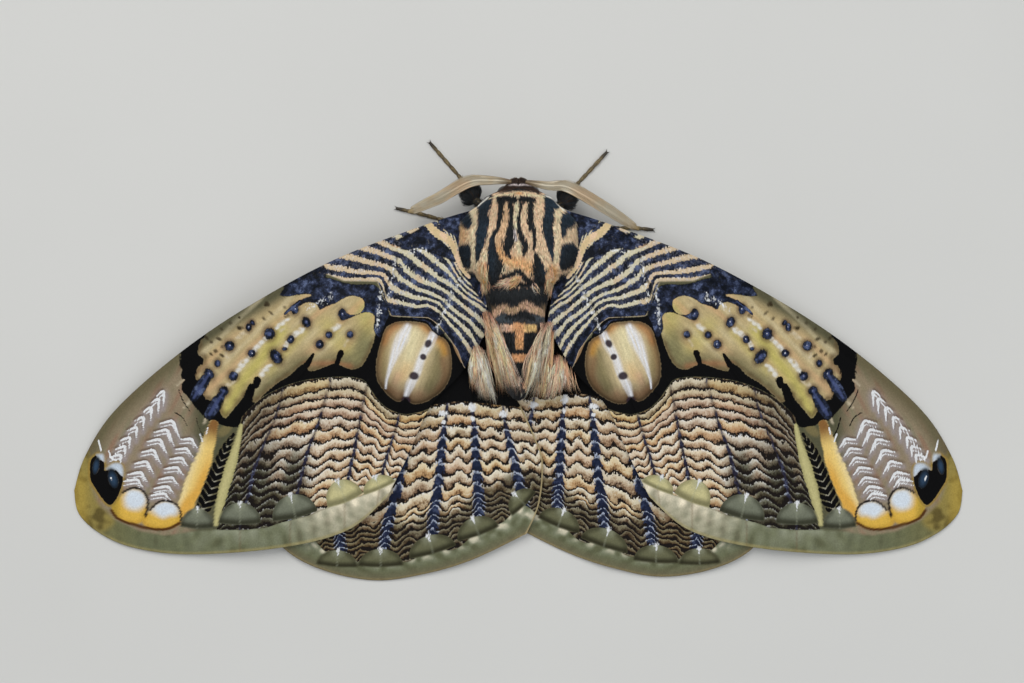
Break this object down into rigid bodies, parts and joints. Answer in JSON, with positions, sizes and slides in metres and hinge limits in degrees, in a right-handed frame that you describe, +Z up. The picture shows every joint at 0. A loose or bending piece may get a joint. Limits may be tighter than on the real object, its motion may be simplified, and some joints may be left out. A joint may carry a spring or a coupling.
{
  "type": "brahmin moth",
  "caption": "Life-size brahmin moth at rest, wings spread flat, furry body held over them, feathery feelers swept back.",
  "frame": {"origin": "on the floor, under the middle of the whole animal", "axes": "+X to the animal's right from wing tip to wing tip, +Y towards the head, +Z up"},
  "size_m": [0.14, 0.0692, 0.0126],
  "materials": {
    "wing": "scaled membrane, satin",
    "fur": "striped fur, black and peach",
    "eye": "faceted, glossy",
    "feeler": "thin horn, matt",
    "leg": "horn with short hair"
  },
  "bodies": {
    "root": {"head": "fur", "thorax": "fur", "abdomen": "fur", "palp_left": "fur", "palp_right": "fur", "eye_left": "eye", "eye_right": "eye", "antenna_left": "feeler", "antenna_right": "feeler", "forewing_left": "wing", "forewing_right": "wing", "hindwing_left": "wing", "hindwing_right": "wing", "foreleg_left": "leg", "foreleg_right": "leg", "midleg_left": "leg", "midleg_right": "leg", "hindleg_left": "leg", "hindleg_right": "leg"}
  },
  "joints": []
}
